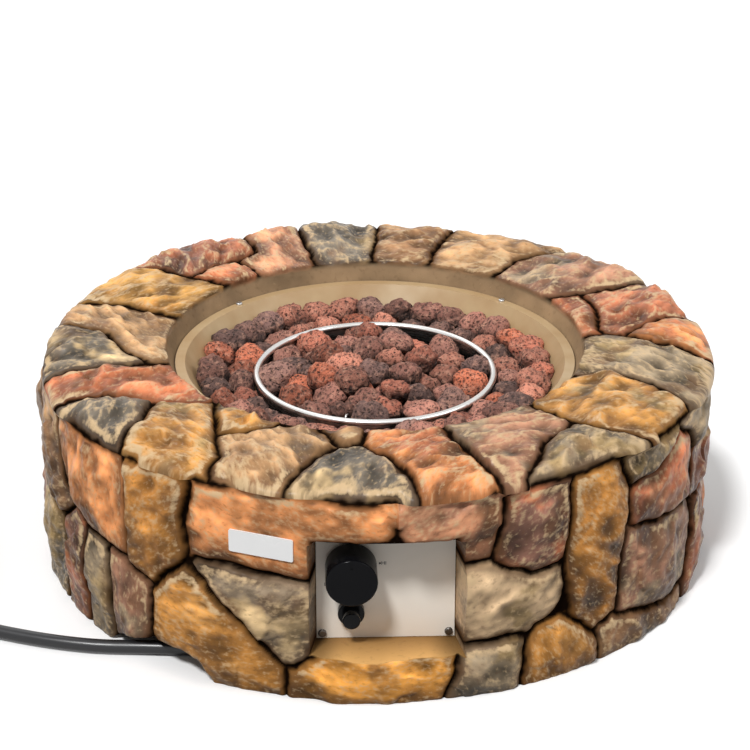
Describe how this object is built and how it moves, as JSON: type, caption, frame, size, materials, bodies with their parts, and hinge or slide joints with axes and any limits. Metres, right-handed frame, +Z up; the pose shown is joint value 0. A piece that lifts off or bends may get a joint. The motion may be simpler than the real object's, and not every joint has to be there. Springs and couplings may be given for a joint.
{
  "type": "propane fire pit",
  "caption": "Low round stone-look gas fire pit with a steel burner bowl of lava rocks, a knob and igniter in a front niche, and a gas hose with regulator.",
  "frame": {"origin": "on the ground, under the centre of the round shell", "axes": "+Z up, the control niche faces -Y, the gas hose leaves towards -X"},
  "size_m": [0.9921, 0.7083, 0.236],
  "materials": {
    "cast_stone": "painted and sealed cast stone, semi-gloss",
    "badge": "satin, blank",
    "bowl_steel": "heat-stained enamel",
    "bright_steel": "brushed",
    "zinc_steel": "zinc plated",
    "brass": "machined",
    "aluminium": "drawn",
    "regulator_cast": "die cast, grey",
    "lava_rock": "rough, porous",
    "white_ceramic": "glazed",
    "black_plastic": "satin",
    "gloss_black": "gloss",
    "hose_rubber": "smooth",
    "lead_rubber": "silicone sheath",
    "tie_plastic": "satin"
  },
  "bodies": {
    "pit": {"stone_shell": "cast_stone", "badge_plate": "badge", "fire_bowl": "bowl_steel", "bowl_screws": "zinc_steel", "burner_pan": "bright_steel", "burner_ring": "bright_steel", "burner_locknut": "zinc_steel", "venturi_tube": "aluminium", "orifice_elbow": "brass", "feed_tube": "aluminium", "feed_nuts": "brass", "lava_rocks_inner": "lava_rock", "lava_rocks_outer": "lava_rock", "electrode_ceramic": "white_ceramic", "electrode_rod": "bright_steel", "electrode_nut": "zinc_steel", "ignition_wire": "lead_rubber", "control_panel": "bright_steel", "panel_screws": "zinc_steel", "valve_cap": "brass", "valve_nut": "zinc_steel", "valve_body": "brass", "igniter_body": "gloss_black", "igniter_nut": "black_plastic", "igniter_spring": "zinc_steel", "igniter_terminal": "brass", "inlet_elbow": "brass", "inlet_nut": "brass", "hose_ferrule": "zinc_steel", "gas_hose": "hose_rubber", "hose_coil": "hose_rubber", "coil_tie": "tie_plastic", "regulator_ferrule": "zinc_steel", "regulator_body": "regulator_cast", "regulator_bonnet": "regulator_cast", "regulator_screws": "zinc_steel", "inlet_nipple": "brass"},
    "valve_plug": {"valve_plug": "brass", "valve_spring": "zinc_steel"},
    "knob": {"control_knob": "black_plastic", "valve_stem": "bright_steel", "knob_set_screw": "zinc_steel"},
    "button": {"igniter_button": "gloss_black"},
    "hand_nut": {"connector_nut": "black_plastic"}
  },
  "joints": [
    {"name": "knob_turn", "type": "hinge", "parent": "pit", "child": "valve_plug", "pos_m": [-0.033, -0.28, 0.1282], "axis": [0, 1, 0], "range_deg": [0, 225]},
    {"name": "knob_push", "type": "slide", "parent": "valve_plug", "child": "knob", "axis": [0, 1, 0], "range_m": [0, 0.004], "stiffness_N_per_m": 900, "springref_m": -0.004, "deforming": ["valve_spring"]},
    {"name": "igniter_press", "type": "slide", "parent": "pit", "child": "button", "axis": [0, 1, 0], "range_m": [0, 0.0065], "stiffness_N_per_m": 1200, "springref_m": -0.003, "deforming": ["igniter_spring"]},
    {"name": "connector_nut_spin", "type": "hinge", "parent": "pit", "child": "hand_nut", "pos_m": [-0.60897, 0.09639, 0.023], "axis": [0, 1, 0], "continuous": true}
  ]
}
